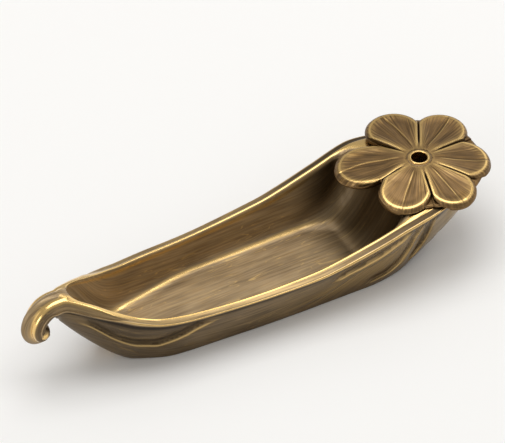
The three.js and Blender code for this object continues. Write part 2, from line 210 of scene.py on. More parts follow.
# hull: one casting, from the round stern to the tip of the scroll
hull = {
    "deckHeight": 23.8, "deckRadius": 17.6, "sternLength": 17.0, "flowerX": 54.2, "sternBeam": 40.8,
    "midBeam": 34.0, "lowestRim": 15.0, "bowX": -59.0, "bowBeam": 8.8, "bowRim": 27.0,
    "baseWidth": 25.0, "baseFrontX": -42.0, "baseBackX": 41.0, "sternKeel": 15.0, "bowKeel": 19.0,
    # the rim is a flange whose inner edge is its highest line; the side opens out to its lip
    "rimWidth": 1.95, "sternRimWidth": 2.4, "strapRimWidth": 1.8, "rimRound": 0.5,
    "rimDrop": 0.45, "sternRimDrop": 0.9, "strapDrop": 3.3, "lipHeight": 0.85, "undercut": 0.6,
    "flare": 2.2, "sternFlare": 3.7, "bowFlare": 0.7, "flareDrop": 1.5,
    # the foot of the well's wall is a share of its width at the top; the wall leans more at the bow
    "wellInset": 0.35, "wellBowX": -58.3, "wellBowRound": 4.0, "wellSternX": 44.5, "wellSternRound": 13.0,
    "bowFoot": 0.84, "sideFoot": 0.93, "floorHeight": 4.0, "floorWidth": 25.6, "floorSpread": 0.9,
    "floorRise": 24.0, "rampX": 30.0, "rampRise": 0.085,
    "creaseRound": 3.0, "bowCreaseRound": 5.0, "sternCreaseRound": 9.0,
    "strapWidth": 7.2, "strapThickness": 4.6, "strapCrown": 0.9, "scrollCrown": 2.2,
    "tipThickness": 3.0, "tipShare": 0.06, "beadRadius": 2.5, "beadWidth": 6.9,
    "stationStep": 0.45, "sternSteps": 30, "scrollSteps": 60,
}
# rows of points on half a section, from the keel up and over the rim to the middle of the well
sectionSteps = {
    "base": 4, "side": 54, "lip": 5, "edge": 6, "rim": 14, "inner": 9, "wall": 16, "crease": 9, "floor": 9}

bowX, bowRim, deckHeight = hull["bowX"], hull["bowRim"], hull["deckHeight"]
flowerX, deckRadius, lowest = hull["flowerX"], hull["deckRadius"], hull["lowestRim"]
midHalf, bowHalf, sternHalf = hull["midBeam"] / 2, hull["bowBeam"] / 2, hull["sternBeam"] / 2
sternX = flowerX + hull["sternLength"]
planLine = fair([
    (bowX - 2, hull["strapWidth"] / 2), (bowX, bowHalf), (bowX + 7.5, lerp(bowHalf, midHalf, 0.31)),
    (bowX + 14.5, lerp(bowHalf, midHalf, 0.6)), (bowX + 22, lerp(bowHalf, midHalf, 0.79)),
    (bowX + 31, lerp(bowHalf, midHalf, 0.91)), (bowX + 46, midHalf),
    (bowX + 70, lerp(midHalf, sternHalf, 0.58)), (flowerX - 18, sternHalf),
    (flowerX - 9, sternHalf - 0.4), (flowerX, deckRadius)])
sheerLine = fair([
    (bowX - 2, bowRim + 0.3), (bowX, bowRim + 0.1), (bowX + 5.5, lerp(lowest, bowRim, 0.81)),
    (bowX + 11.5, lerp(lowest, bowRim, 0.53)), (bowX + 18, lerp(lowest, bowRim, 0.28)),
    (bowX + 27, lerp(lowest, bowRim, 0.1)), (bowX + 48, lowest),
    (bowX + 68, lerp(lowest, deckHeight, 0.1)), (flowerX - 36, lerp(lowest, deckHeight, 0.27)),
    (flowerX - 24, lerp(lowest, deckHeight, 0.62)), (flowerX - 12, deckHeight), (flowerX, deckHeight)])
rimWidthLine = fair([
    (bowX - 2, hull["strapRimWidth"]), (bowX + 7.5, 2.0), (bowX + 14.5, hull["sternRimWidth"]),
    (bowX + 31, 2.1), (-10, hull["rimWidth"]), (20, hull["sternRimWidth"]),
    (flowerX - 9, hull["sternRimWidth"]), (flowerX, 1.2)])
rimDropLine = fair([
    (bowX - 2, hull["strapDrop"]), (bowX + 4, hull["strapDrop"]), (bowX + 7.5, 2.7), (bowX + 14.5, 1.2),
    (bowX + 31, hull["rimDrop"]), (0, hull["rimDrop"]), (20, hull["sternRimDrop"]),
    (flowerX - 9, hull["sternRimDrop"]), (flowerX, 0.3)])

# leaf strands on the side: how far they rise and are cut in, how wide below and above the line, and
# the line's points as (x, share of the way up to the lip), with the cut side on the left hand
strands = {
    "bow leaf": {
        "set": "lineA", "rise": 0.35, "cut": 0.8, "below": 3.4, "above": 2.6, "fade": (7.0, 10.0),
        "line": [(-58.5, 0.72), (-55, 0.78), (-52.5, 0.76), (-50.5, 0.73), (-48.3, 0.7), (-44.3, 0.69),
                 (-39.3, 0.68), (-36.3, 0.67), (-34, 0.7), (-31, 0.74), (-28, 0.79), (-25.3, 0.85),
                 (-22, 0.89), (-15.5, 0.95)]},
    "bow vein": {
        "set": "lineB", "rise": 0.1, "cut": 0.1, "below": 0.8, "above": 0.8, "fade": (4.0, 5.0),
        "line": [(-49.5, 0.73), (-46, 0.79), (-42, 0.79), (-39.5, 0.79), (-36, 0.8), (-33.3, 0.83)]},
    "bow foot": {
        "set": "lineB", "rise": 0.1, "cut": 0.1, "below": 0.8, "above": 0.8, "fade": (3.0, 4.0),
        "line": [(-48.3, 0.56), (-45.3, 0.55), (-42.8, 0.54), (-40.3, 0.42)]},
    "ribbon foot": {
        "set": "lineA", "rise": 0.3, "cut": 0.2, "below": 1.2, "above": 2.6, "fade": (1.5, 12.0),
        "line": [(42.3, 0.95), (41.3, 0.88), (39.5, 0.85), (37.8, 0.79), (34, 0.77), (30.5, 0.75),
                 (26.5, 0.75), (21.8, 0.68), (18.3, 0.61), (14.8, 0.54), (11.3, 0.52), (8.3, 0.48),
                 (4.3, 0.44)]},
    "ribbon top": {
        "set": "lineB", "rise": 0.35, "cut": 0.7, "below": 1.2, "above": 1.6, "fade": (4.0, 1.0),
        "line": [(16.5, 0.76), (22.3, 0.81), (26.3, 0.82), (30.3, 0.83), (34, 0.85), (37.8, 0.89),
                 (39.8, 0.95), (41.3, 1.0)]},
    "second strand": {
        "set": "lineA", "rise": 0.35, "cut": 0.5, "below": 2.6, "above": 2.2, "fade": (5.0, 1.0),
        "line": [(27.8, 0.3), (30.8, 0.37), (35, 0.39), (37.5, 0.43), (40, 0.5), (41.5, 0.59),
                 (42.8, 0.7), (43.3, 0.79), (44.3, 0.89), (45, 1.0)]},
    "third strand": {
        "set": "lineB", "rise": 0.4, "cut": 0.6, "below": 3.0, "above": 2.4, "fade": (3.0, 1.0),
        "line": [(42.5, 0.37), (44.8, 0.4), (46.8, 0.47), (48.3, 0.64), (48.7, 0.8), (48.8, 0.93),
                 (49.0, 1.0)]},
}


def halfBeamAt(x):
    if x <= flowerX:
        return planLine(x)
    return deckRadius * math.sqrt(max(1 - ((x - flowerX) / hull["sternLength"]) ** 2, 0.0))


def keelHeightAt(x):
    if x > hull["baseBackX"]:
        return hull["sternKeel"] * ((x - hull["baseBackX"]) / (sternX - hull["baseBackX"])) ** 1.7
    if x < hull["baseFrontX"]:
        return hull["bowKeel"] * ((hull["baseFrontX"] - x) / (hull["baseFrontX"] - bowX + 2.5)) ** 1.5
    return 0.0


def flareAt(x, half):
    # how far the foot of the lip stands out from the side below it
    stern = smoothStep(x, bowX + 46, flowerX - 18)
    end = 1 - smoothStep(x, flowerX - 9, flowerX + 2)
    bow = smoothStep(x, bowX, bowX + 22)
    wide = lerp(hull["flare"], hull["sternFlare"], stern)
    return min(lerp(hull["bowFlare"], wide, bow * lerp(0.1, 1, end)), half * 0.5)


def bodySection(x):
    # the sizes of the upright section at x
    half, rim, drop = halfBeamAt(x), sheerLine(x), rimDropLine(x)
    flared = flareAt(x, half)
    opening = hull["flareDrop"] * smoothStep(flared, hull["bowFlare"], hull["flare"])
    base = smoothStep(x, bowX, hull["baseFrontX"] + 12)
    base = base * (1 - smoothStep(x, hull["baseBackX"] - 12, sternX))
    sternTurn = max((x - hull["wellSternX"] + hull["wellSternRound"]) / hull["wellSternRound"], 0.0)
    bowTurn = max((hull["wellBowX"] + hull["wellBowRound"] - x) / hull["wellBowRound"], 0.0)
    close = math.sqrt(max(1 - sternTurn ** 2.6, 0.0)) * math.sqrt(max(1 - bowTurn ** 2.2, 0.0))
    width = min(rimWidthLine(x), half * 0.5)
    wellTop = max(half - width - hull["wellInset"], 0.0) * close
    foot = lerp(hull["bowFoot"], hull["sideFoot"], smoothStep(x, bowX + 26, bowX + 44))
    rise = 1 - smoothStep(x, hull["wellBowX"], hull["wellBowX"] + hull["floorRise"])
    ramp = hull["rampRise"] * max(x - hull["rampX"], 0.0) ** 2
    depth = smoothStep(x, hull["wellBowX"], hull["wellBowX"] + 2.6)
    depth = depth * (1 - smoothStep(x, hull["wellSternX"] - 2.5, hull["wellSternX"] + 0.5))
    beyond = max(hull["wellBowX"] - x, x - hull["wellSternX"], 0.0)
    fillet = lerp(hull["bowCreaseRound"], hull["creaseRound"], smoothStep(x, bowX + 8, bowX + 26))
    fillet = fillet + (hull["sternCreaseRound"] - hull["creaseRound"]) * smoothStep(x, 22, 38)
    return {
        "half": half, "height": rim, "keel": keelHeightAt(x), "flared": flared,
        "drop": drop, "width": width, "lip": hull["lipHeight"],
        "sideTop": rim - drop - hull["lipHeight"] - opening,
        "crown": hull["strapCrown"] * (1 - smoothStep(x, bowX - 3, bowX + 4)),
        "flat": min(lerp(0.15, hull["baseWidth"] / (hull["midBeam"] - 2 * hull["flare"]), base), 0.9),
        "fullness": lerp(0.25, 0.62, base), "tip": 1.0, "strap": 0.0,
        "wellTop": math.hypot(wellTop, 0.5), "fillet": fillet,
        "floor": min(lerp(hull["floorHeight"], rim - 3, rise ** 1.6) + ramp, rim - 0.8),
        "crease": min(wellTop * foot, (hull["floorWidth"] / 2 + hull["floorSpread"]) * close),
        "depth": depth, "spread": smoothStep(beyond, 0, 6),
    }


def strapSection(t):
    # the sizes of the strap of the scroll at a share of its length; it starts as the bow ends
    entry = 1 - smoothStep(t, 0, 0.3)
    thickness = lerp(hull["strapThickness"], hull["tipThickness"], t)
    thickness = lerp(thickness, bowRim - hull["bowKeel"], entry ** 2)
    rounding = max(t - 1 + hull["tipShare"], 0) / hull["tipShare"]
    return {
        "half": hull["strapWidth"] / 2 * lerp(1, 0.8, smoothStep(t, 0.6, 1)),
        "height": 0.0, "keel": -thickness, "flared": lerp(0.3, hull["bowFlare"], entry),
        "drop": lerp(thickness * 0.6, hull["strapDrop"], entry), "width": hull["strapRimWidth"],
        "lip": hull["lipHeight"] * lerp(0.5, 1, entry),
        "sideTop": -lerp(thickness * 0.8, hull["strapDrop"] + hull["lipHeight"], entry),
        "crown": lerp(hull["strapCrown"], hull["scrollCrown"], smoothStep(t, 0, 0.5)),
        "flat": lerp(0.75, 0.15, entry), "fullness": lerp(0.9, 0.25, entry),
        "tip": math.sqrt(max(1 - rounding ** 2, 0.0)), "strap": 1 - entry,
        # there is no well in the strap
        "wellTop": 0.5, "fillet": 1.0, "floor": -1.0, "crease": 0.4, "depth": 0.0, "spread": 1.0,
    }


def sectionSide(s, t):
    # the side from the flat base to the foot of the lip, one curve that opens out at the top
    sideY = s["half"] - s["flared"]
    footY = s["half"] - min(hull["undercut"], s["flared"])
    foot = s["height"] - s["drop"] - s["lip"]
    opened, lifted = footY - sideY, foot - s["sideTop"]
    return bezier([
        (s["flat"] * sideY, s["keel"]), (lerp(s["flat"], 1, s["fullness"]) * sideY, s["keel"]),
        (lerp(0.86, 1, s["fullness"]) * sideY - opened,
         lerp(s["keel"], s["sideTop"], lerp(0.55, 0.3, s["fullness"])) - lifted), (footY, foot)], t)


def halfSection(s):
    # points of (y, height) from the keel up the side, over the rim and down to the middle of the well
    n = sectionSteps
    half, height = s["half"], s["height"]
    side = sectionSide(s, np.linspace(0, 1, n["side"] + 1))
    base = np.linspace(0, side[0, 0], n["base"] + 1)[:-1]
    rows = [np.column_stack([base, np.full(n["base"], s["keel"])]), side]

    # lip and rim: a flange with a small face, or a round shoulder where the rim drops far
    shouldered = smoothStep(s["drop"], 0.7, 2.0)
    edgeTop = height - s["drop"]
    faceDrop = lerp(min(s["drop"], 0.5), s["drop"], shouldered)
    faceStart = height - faceDrop
    corner = min(0.32 + 0.6 * (s["drop"] - faceDrop), s["width"] * 0.35)
    rows.append(bezier([
        side[-1], (lerp(side[-1, 0], half, 0.75), side[-1, 1] + 0.03),
        (half, edgeTop - s["lip"] * 0.75), (half, edgeTop - 0.3)], shares(n["lip"])))
    rows.append(bezier([
        (half, edgeTop - 0.3), (half, lerp(edgeTop - 0.3, faceStart, 0.7)),
        (half - corner * 0.4, faceStart), (half - corner, faceStart)], shares(n["edge"])))
    t = shares(n["rim"])
    ridge = half - s["width"]
    flange = np.column_stack([lerp(half - corner, ridge, t), faceStart + faceDrop * t ** 2.2])
    shoulder = bezier([
        (half - corner, faceStart), (half, lerp(faceStart, height, 0.5)), (half, height - 0.1),
        (ridge, height)], t)
    rows.append(lerp(flange, shoulder, shouldered))

    # over the inner edge, down the wall, round the crease and across the floor
    wellTop = min(s["wellTop"], ridge * 0.95)
    lip = min(hull["rimRound"], s["wellTop"] * 0.5)
    wallTop = height - lip - 0.25
    turned = min(s["fillet"], s["crease"] * 0.7, (height - s["floor"]) * 0.6)
    inner = [bezier([
        (ridge, height), (lerp(ridge, wellTop, 0.55), height + 0.02),
        (wellTop + 0.02, height - lip * 0.5), (wellTop, wallTop)], shares(n["inner"]))]
    wallHeight = lerp(wallTop, s["floor"] + turned, shares(n["wall"]))
    lean = ((wallHeight - s["floor"]) / max(height - s["floor"], 0.1)) ** 1.15
    inner.append(np.column_stack([lerp(s["crease"], wellTop, np.clip(lean, 0, 1)), wallHeight]))
    start, end = inner[-1][-1], np.array((s["crease"] - turned, s["floor"]))
    middle = np.array((s["crease"] - turned * 0.12, s["floor"] + turned * 0.12))
    inner.append(bezier([
        start, lerp(start, middle, 0.75), lerp(end, middle, 0.75), end], shares(n["crease"])))
    floorY = lerp(s["crease"] - turned, 0, shares(n["floor"]))
    inner = np.vstack([*inner, np.column_stack([floorY, np.full(n["floor"], s["floor"])])])

    # beyond the well the same points lie on the deck or on the crown of the strap
    even = ridge * (1 - np.arange(1, len(inner) + 1) / len(inner))
    y = lerp(inner[:, 0], even, s["spread"])
    crowned = height + s["crown"] * (1 - (y / max(ridge, 1e-6)) ** 2)
    z = lerp(crowned, np.minimum(inner[:, 1] + crowned - height, crowned + 0.05), s["depth"])
    rows.append(np.column_stack([y, z]))
    return np.vstack(rows) * s["tip"], side


def hullStations():
    # each station: origin, outward direction, distance along the boat and the section there
    turns = np.linspace(0, math.pi / 2, hull["sternSteps"] + 1)
    xs = list(flowerX + hull["sternLength"] * np.cos(turns))
    steps = int(round((flowerX - bowX + 2) / hull["stationStep"]))
    xs += list(np.linspace(flowerX, bowX - 2, steps + 1)[1:])
    stations = [((x, 0.0), (0.0, 1.0), x, bodySection(x)) for x in xs]
    line = throughPoints([
        (bowX - 2, bowRim + 0.3), (bowX - 5, bowRim + 0.1), (bowX - 8, bowRim - 1.4),
        (bowX - 10.3, bowRim - 4.2), (bowX - 11.3, bowRim - 7.6), (bowX - 10.7, bowRim - 10.5),
        (bowX - 9.1, bowRim - 12.3), (bowX - 7, bowRim - 12.5), (bowX - 5.8, bowRim - 11.3)])
    length = np.concatenate([[0], np.cumsum(np.hypot(*np.diff(line, axis=0).T))])
    for k in range(1, hull["scrollSteps"] + 1):
        share = k / hull["scrollSteps"]
        reach = share * length[-1]
        nearby = np.clip([reach, reach + 0.1, reach - 0.1], 0, length[-1])
        place, ahead, behind = np.column_stack([np.interp(nearby, length, line[:, axis]) for axis in (0, 1)])
        along = (ahead - behind) / np.hypot(*(ahead - behind))
        stations.append((place, (along[1], -along[0]), bowX - 2 - reach, strapSection(share)))
    return stations


def strandField(strand, places, sideLength, xs):
    # distance of every side point from the strand's line, the same with a sign that is positive on its
    # cut side, and a share that falls to 0 at the ends of the line
    line = throughPoints(strand["line"], 8)
    line[:, 1] *= np.interp(line[:, 0], xs[::-1], sideLength[::-1])
    starts, runs = line[:-1], np.diff(line, axis=0)
    sizes = np.hypot(runs[:, 0], runs[:, 1])
    walked = np.concatenate([[0], np.cumsum(sizes)])
    best, signed, along = np.full(len(places), 99.0), np.full(len(places), 99.0), np.zeros(len(places))
    for start, run, size, before in zip(starts, runs, sizes, walked):
        away = places - start
        t = np.clip(away @ run / size ** 2, 0, 1)
        distance = np.hypot(*(away - t[:, None] * run).T)
        nearer = distance < best
        best = np.where(nearer, distance, best)
        signed = np.where(nearer, (run[0] * away[:, 1] - run[1] * away[:, 0]) / size, signed)
        along = np.where(nearer, before + t * size, along)
    fadeIn, fadeOut = strand["fade"]
    ends = smoothStep(along, 0, fadeIn) * (1 - smoothStep(along, walked[-1] - fadeOut, walked[-1]))
    return best, signed, ends


def carveStrands(halves, sides, reach):
    # pushes the side in and out along its normal, gives the cut side of each strand as a mask for painted
    # shade, and gives the fine lines as fields for the finish
    n = sectionSteps
    shown = slice(n["base"], n["base"] + n["side"] + 1)
    share = np.linspace(0, 1, n["side"] + 1)
    sideLength = np.hypot(*np.moveaxis(np.diff(sides, axis=1), 2, 0)).sum(axis=1)
    places = np.column_stack([np.repeat(reach, n["side"] + 1), (sideLength[:, None] * share).ravel()])
    height, dark = np.zeros(len(places)), np.zeros(len(places))
    lines = {label: np.zeros((len(reach), halves.shape[1], 3)) for label in ("lineA", "lineB")}
    nearest = {label: np.full(len(places), 99.0) for label in lines}
    for strand in strands.values():
        distance, signed, ends = strandField(strand, places, sideLength, reach)
        raised = strand["rise"] * bell(distance, strand["below"])
        cutSide = bell(distance, strand["above"])
        height += lerp(raised, -strand["cut"] * cutSide, smoothStep(signed, -0.6, 0.9)) * ends
        dark = np.maximum(dark, ends * min(strand["cut"] / 0.6, 1) * cutSide * (signed > 0.2))
        closer = distance < nearest[strand["set"]]
        strength = min(0.35 + strand["cut"], 0.85)
        nearLine = strength * ends * bell(distance, 1.1)
        field = np.column_stack([signed, nearLine, np.full(len(places), strength)])
        old = lines[strand["set"]][:, shown].reshape(-1, 3)
        lines[strand["set"]][:, shown] = np.where(closer[:, None], field, old).reshape(len(reach), -1, 3)
        nearest[strand["set"]] = np.minimum(nearest[strand["set"]], distance)
    tangent = np.gradient(sides, axis=1)
    normal = np.stack([tangent[..., 1], -tangent[..., 0]], -1)
    normal = normal / np.maximum(np.linalg.norm(normal, axis=2, keepdims=True), 1e-6)
    ease = smoothStep(share, 0, 0.12) * (1 - smoothStep(share, 0.97, 1.0))
    ease = ease * np.clip(sides[..., 0] / 3, 0, 1)
    halves[:, shown] += normal * (height.reshape(len(reach), -1) * ease)[..., None]
    return dark.reshape(len(reach), -1), lines


# how bright the hull's zones are, from rubbed metal and painted highlights, and how dark, from patina and
# painted shade, from 0 to 1
# painted highlights on the ridge, inner edge, top of the wall, crease, strap ridge and crown edge; painted
# shade under the lip, on the rim face, deck, stern of the well and crown
wear = {
    "sideGold": 0.36, "sideDark": 0.45, "bowSideDark": 0.75, "footDark": 0.3, "undercutShade": 0.85,
    "edge": 0.8, "face": 0.3, "shadedFace": 0.1, "ridge": 0.7, "faceDark": 0.33, "paintedFaceShade": 0.92,
    "strapFace": 0.05, "strapRidgeHighlight": 0.95, "inner": 0.2, "innerEdgeWearAndSheen": 0.8, "deckShade": 0.75,
    "wallTop": 0.5, "crease": 0.6, "floor": 0.08, "sternShadow": 0.95,
    "crown": 0.12, "crownEdgeHighlight": 0.88, "crownShade": 0.15, "scrollShade": 0.3,
}


def wearMarks(stations, reach, dark, columns):
    # how bright from wear and painted highlights, and how dark from patina and painted shade, each point is,
    # by the zone of the section that its column stands in
    n = sectionSteps
    wornAndSheen, patinaAndShade = np.zeros((len(stations), columns)), np.zeros((len(stations), columns))
    zones, start = {}, 0
    for zone, count in dict(n, side=n["side"] + 1).items():
        zones[zone] = slice(start, start + count)
        start += count
    strap, closed = [np.array([[station[3][key]] for station in stations]) for key in ("strap", "spread")]
    x = reach[:, None]

    # side and lip: browner at the bow and near the base, golden towards the stern, with painted shade on the
    # lip and under it
    share = np.linspace(0, 1, n["side"] + 1)
    aft = smoothStep(x, -45, -10)
    low = lerp(wear["bowSideDark"], wear["sideDark"], aft)
    low = low + wear["footDark"] * (1 - smoothStep(share, 0.1, 0.75)) * aft
    patinaAndShade[:, zones["side"]] = np.maximum(dark, wear["undercutShade"] * bell(1 - share, 0.05) + low)
    wornAndSheen[:, zones["side"]] = wear["sideGold"] * smoothStep(x, -40, 30) * smoothStep(share, 0.15, 0.6)
    patinaAndShade[:, zones["lip"]] = lerp(1.0, 0.6, np.linspace(0, 1, n["lip"]))
    nearBow = 1 - smoothStep(x, bowX + 4, bowX + 24)
    edge = np.sin(np.linspace(0.2, 1, n["edge"]) * math.pi)
    wornAndSheen[:, zones["edge"]] = wear["edge"] * edge * (1 - 0.8 * nearBow)

    # rim: a bright ridge, rubbed and with a painted highlight, above a brown face that has painted shade at
    # the bow, along the strap and towards the stern
    rim = np.linspace(0, 1, n["rim"])
    shaded = np.maximum(np.maximum(strap * 0.6, nearBow * 0.4), smoothStep(x, 8, 30))
    shoulder = lerp(smoothStep(rim, 0.76, 0.95), smoothStep(rim, 0.5, 0.72), nearBow)
    ridgeWearAndSheen = lerp(wear["face"], wear["shadedFace"], shaded) + wear["ridge"] * shoulder
    strapWearAndSheen = wear["strapFace"] + wear["strapRidgeHighlight"] * bell(rim - 0.85, 0.25)
    wornAndSheen[:, zones["rim"]] = lerp(ridgeWearAndSheen, strapWearAndSheen, strap)
    patinaAndShade[:, zones["rim"]] = lerp(wear["faceDark"], wear["paintedFaceShade"], shaded) * (1 - shoulder)

    # inner edge, rubbed and with a painted highlight, which widens to the deck beside the flower, given
    # painted shade there; then the well, with a painted sheen at the top of its wall
    inner = np.linspace(0, 1, n["inner"])
    deck = np.array([[s["half"] - s["width"] - s["wellTop"]] for *_, s in stations])
    deck = smoothStep(deck, 0.6, 3) * smoothStep(x, 15, 30)
    innerEdgeWearAndSheen = wear["innerEdgeWearAndSheen"] * bell(inner, lerp(0.28, 0.12, deck))
    wornAndSheen[:, zones["inner"]] = wear["inner"] * (1 - deck) + innerEdgeWearAndSheen
    patinaAndShade[:, zones["inner"]] = wear["deckShade"] * deck * smoothStep(inner, 0.1, 0.4)
    wornAndSheen[:, zones["wall"]] = wear["wallTop"] * bell(np.linspace(0, 1, n["wall"]), 0.12)
    # the crease carries a painted sheen along it
    wornAndSheen[:, zones["crease"]] = wear["crease"] * bell(np.linspace(-1, 1, n["crease"]) - 0.15, 0.4)
    wornAndSheen[:, zones["floor"]] = wear["floor"]
    # painted shadow of the flower over the stern end of the well, where the wear is taken away
    stern = wear["sternShadow"] * smoothStep(x, 18, 38) * (1 - closed)
    for zone in ("wall", "crease", "floor"):
        patinaAndShade[:, zones[zone]] = stern
        wornAndSheen[:, zones[zone]] *= 1 - stern

    # deck and strap: a painted highlight beside the ridge, brown with painted shade along the crown
    above = slice(zones["inner"].start, start)
    level = np.linspace(0, 1, start - above.start)
    crown = wear["crown"] + wear["crownEdgeHighlight"] * bell(level, 0.2)
    curled = smoothStep(bowX - 2 - x, 6, 12)
    wornAndSheen[:, above] = lerp(wornAndSheen[:, above], crown * (1 - 0.6 * curled), closed)
    crownShade = lerp(wear["crownShade"] * closed, wear["scrollShade"], curled) * (1 - bell(level, 0.3))
    patinaAndShade[:, above] = np.maximum(patinaAndShade[:, above], crownShade)
    return zones, wornAndSheen, patinaAndShade


def brushMarks(halves, reach, zones):
    # brush direction: along the boat, and round the section from the middle of the floor or the ridge
    steps = np.hypot(*np.moveaxis(np.diff(halves, axis=1), 2, 0))
    across = np.zeros(halves.shape[:2])
    across[:, :-1] = np.cumsum(steps[:, ::-1], axis=1)[:, ::-1]
    outside = slice(0, zones["inner"].start)
    across[:, outside] -= across[:, [outside.stop - 1]]
    climb = 14 * np.clip(reach / 50, 0, 1.2) ** 3       # mm that the marks climb beside the stern
    across[:, :zones["side"].stop] += climb[:, None]
    along = np.repeat(reach[:, None], halves.shape[1], axis=1)
    return np.stack([along, across, np.zeros(across.shape)], -1)


def shapeHull():
    stations = hullStations()
    halves, sides = [np.array(rows) for rows in zip(*[halfSection(station[3]) for station in stations])]
    reach = np.array([station[2] for station in stations])
    dark, lines = carveStrands(halves, sides, reach)
    zones, wornAndSheen, patinaAndShade = wearMarks(stations, reach, dark, halves.shape[1])
    marks = {"grain": brushMarks(halves, reach, zones), "wornAndSheen": wornAndSheen, "patinaAndShade": patinaAndShade, **lines}
    origins, outwards = [np.array([station[k] for station in stations])[:, None, :] for k in (0, 1)]
    flat = origins + outwards * halves[..., 1:]
    places = np.stack([flat[..., 0], halves[..., 0], flat[..., 1]], -1)

    # the other half is the same, turned over the middle plane
    marks = {label: np.concatenate([values, values[:, -2::-1]], axis=1) for label, values in marks.items()}
    marks["grain"][:, halves.shape[1]:, 1] *= -1
    places = np.concatenate([places, places[:, -2::-1] * (1, -1, 1)], axis=1)
    return gridPiece("hull_casting", places, marks)


def shapeBead():
    # the eye in the middle of the scroll: a ball stretched across the strap, with a painted highlight on
    # each side and a ring of painted shade round it
    around, along = np.meshgrid(np.linspace(0, 2 * math.pi, 49), np.linspace(0, math.pi, 33), indexing="ij")
    radius = hull["beadRadius"] * np.sin(along)
    places = np.stack([bowX - 7.7 + radius * np.cos(around), hull["beadWidth"] / 2 * np.cos(along),
                       bowRim - 10.1 + radius * np.sin(around)], -1)
    grain = np.stack([around * 2, along * 2, np.zeros(around.shape)], -1)
    aside = np.minimum(along, math.pi - along)
    none = np.zeros(places.shape)
    return gridPiece("scroll_bead", places, {
        "grain": grain, "wornAndSheen": 0.9 * bell(aside, 0.45), "patinaAndShade": 0.8 * bell(aside - 0.95, 0.3),
        "lineA": none, "lineB": none})


def joinPieces(name, pieces):
    bpy.ops.object.select_all(action="DESELECT")
    for piece in pieces:
        piece.select_set(True)
    bpy.context.view_layer.objects.active = pieces[0]
    bpy.ops.object.join()
    pieces[0].name = name
    return pieces[0]


def cutBore(piece, radius, bottom, top, x):
    # an upright hole on the middle plane
    bpy.ops.object.select_all(action="DESELECT")
    bpy.ops.mesh.primitive_cylinder_add(
        vertices=48, radius=radius * mm, depth=(top - bottom) * mm,
        location=(x * mm, 0, (top + bottom) / 2 * mm))
    cutter = bpy.context.object
    bpy.ops.object.select_all(action="DESELECT")
    bpy.context.view_layer.objects.active = piece
    piece.select_set(True)
    cut = piece.modifiers.new("bore", "BOOLEAN")
    cut.operation = "DIFFERENCE"
    cut.solver = "EXACT"
    cut.object = cutter
    bpy.ops.object.modifier_apply(modifier=cut.name)
    bpy.data.objects.remove(cutter)


hullCasting = joinPieces("hull_casting", [shapeHull(), shapeBead()])
print("hull shaped,", len(hullCasting.data.polygons), "faces")


# flower: six petals round the stick hole, cast in one with the web that joins them
flower = {
    "hubHeight": 3.4, "petalThickness": 2.2, "webRadius": 18.3, "webTop": 25.5, "innerWebRadius": 13.3,
    "innerWebTurns": (100, 240), "innerRadius": 3.64, "clearance": 0.3, "dish": 0.35,
    "edgeRound": 1.1, "grooveRound": 0.55, "grooveStart": 5.0, "grooveDeep": 8.5,
    "rayWidth": 0.21,             # mm of brush pattern to a degree of turn
    "halfSpokes": 30, "topRows": 56, "stepRows": 6, "sideRows": 12, "underRows": 16,
    # each petal: turn, turn of the groove after it, reach, radius of its round end, droop, lift over
    # its neighbours, and how far its midrib stands from its middle line near the hub, halfway and at
    # the tip, in degrees
    "petals": [
        (-26, 4.7, 20.2, 8.0, 1.9, 0.0, (-1.0, -2.0, -1.0)),
        (33.5, 60, 21.7, 7.5, 1.1, 0.0, (1.0, -1.0, 0.7)),
        (90, 118.1, 22.1, 8.0, 1.1, 0.25, (-10.0, -4.7, -0.3)),
        (154, 187.3, 23.7, 8.1, 2.6, -0.45, (-5.0, -3.8, 5.7)),
        (222.5, 253.2, 21.0, 7.5, 1.9, 0.0, (3.0, 1.7, 3.0)),
        (279, 305.5, 21.1, 7.0, 2.1, 0.0, (3.0, -0.6, -2.7)),
    ],
}
flowerTop = deckHeight + flower["hubHeight"]


def petalInset(r, swing, half, reach, endRadius):
    # how far a point stands inside its petal's outline, and inside its crest, which is nearer the
    # outline along the grooves
    x, y = r * np.cos(swing), r * np.sin(swing)
    roundEnd = np.maximum(endRadius - np.hypot(np.maximum(x - reach + endRadius, 0), y), 0)
    side = np.maximum(r * np.sin(np.maximum(half - np.abs(swing), 0)), 0)
    inCrest = np.minimum(roundEnd - flower["edgeRound"], side - flower["grooveRound"])
    return np.minimum(roundEnd, side), inCrest


def petalReach(swing, reach, endRadius):
    # radius of the outline at an angle from the petal's own direction
    centre = reach - endRadius
    inside = endRadius ** 2 - (centre * math.sin(swing)) ** 2
    if inside <= 0:
        return flower["innerWebRadius"]
    return max(centre * math.cos(swing) + math.sqrt(inside), flower["innerWebRadius"])


def overHull(x, y):
    # height that a petal's underside keeps clear of: the rim or deck below it, or 0 over the well
    section = bodySection(min(x, sternX - 0.01))
    outsideWell = abs(y) > section["wellTop"] - 0.5 or x > hull["wellSternX"] - 1.5
    onMetal = abs(y) < section["half"] + 0.5 and outsideWell
    if onMetal or math.hypot(x - flowerX, y) < deckRadius:
        return section["height"] + flower["clearance"]
    return 0.0


